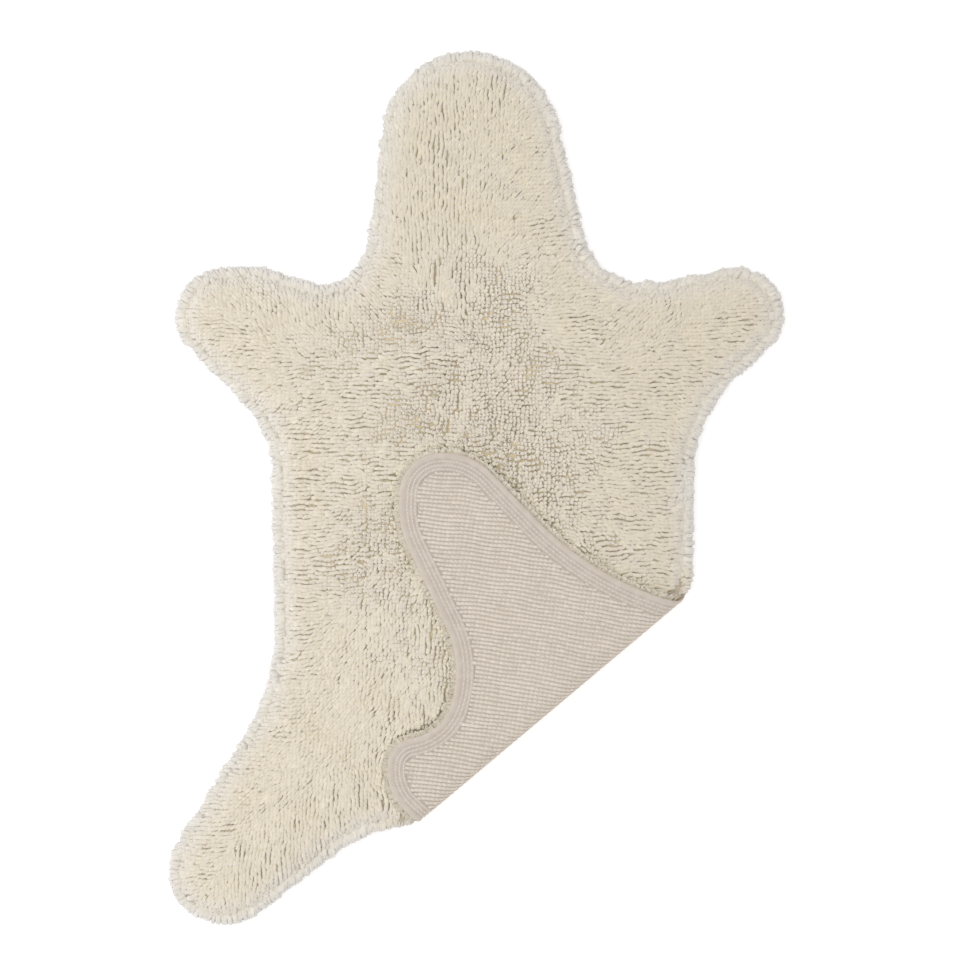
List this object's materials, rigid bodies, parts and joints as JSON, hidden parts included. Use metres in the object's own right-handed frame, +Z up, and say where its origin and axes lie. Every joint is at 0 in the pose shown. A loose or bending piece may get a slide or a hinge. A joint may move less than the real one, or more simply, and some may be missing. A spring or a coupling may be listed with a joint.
{
  "type": "animal pelt shaped kids rug",
  "caption": "Shaggy wool kids rug cut like an animal pelt with a taped edge, lying flat with one hind leg folded over to show the ribbed woven back.",
  "frame": {"origin": "middle of the folded rug's footprint, on the floor", "axes": "+Y along the pelt from the tail to the head, +X to the pelt's right as seen from above, +Z up from the floor"},
  "size_m": [0.7756, 1.102, 0.035],
  "materials": {
    "wool_pile": "long loose cream wool yarn, matte",
    "woven_back": "ribbed flat weave of undyed wool, matte",
    "binding_tape": "sewn cotton tape with a rolled outer edge, matte"
  },
  "bodies": {
    "root": {"pile_cloth": "wool_pile", "edge_binding": "binding_tape"}
  },
  "joints": []
}
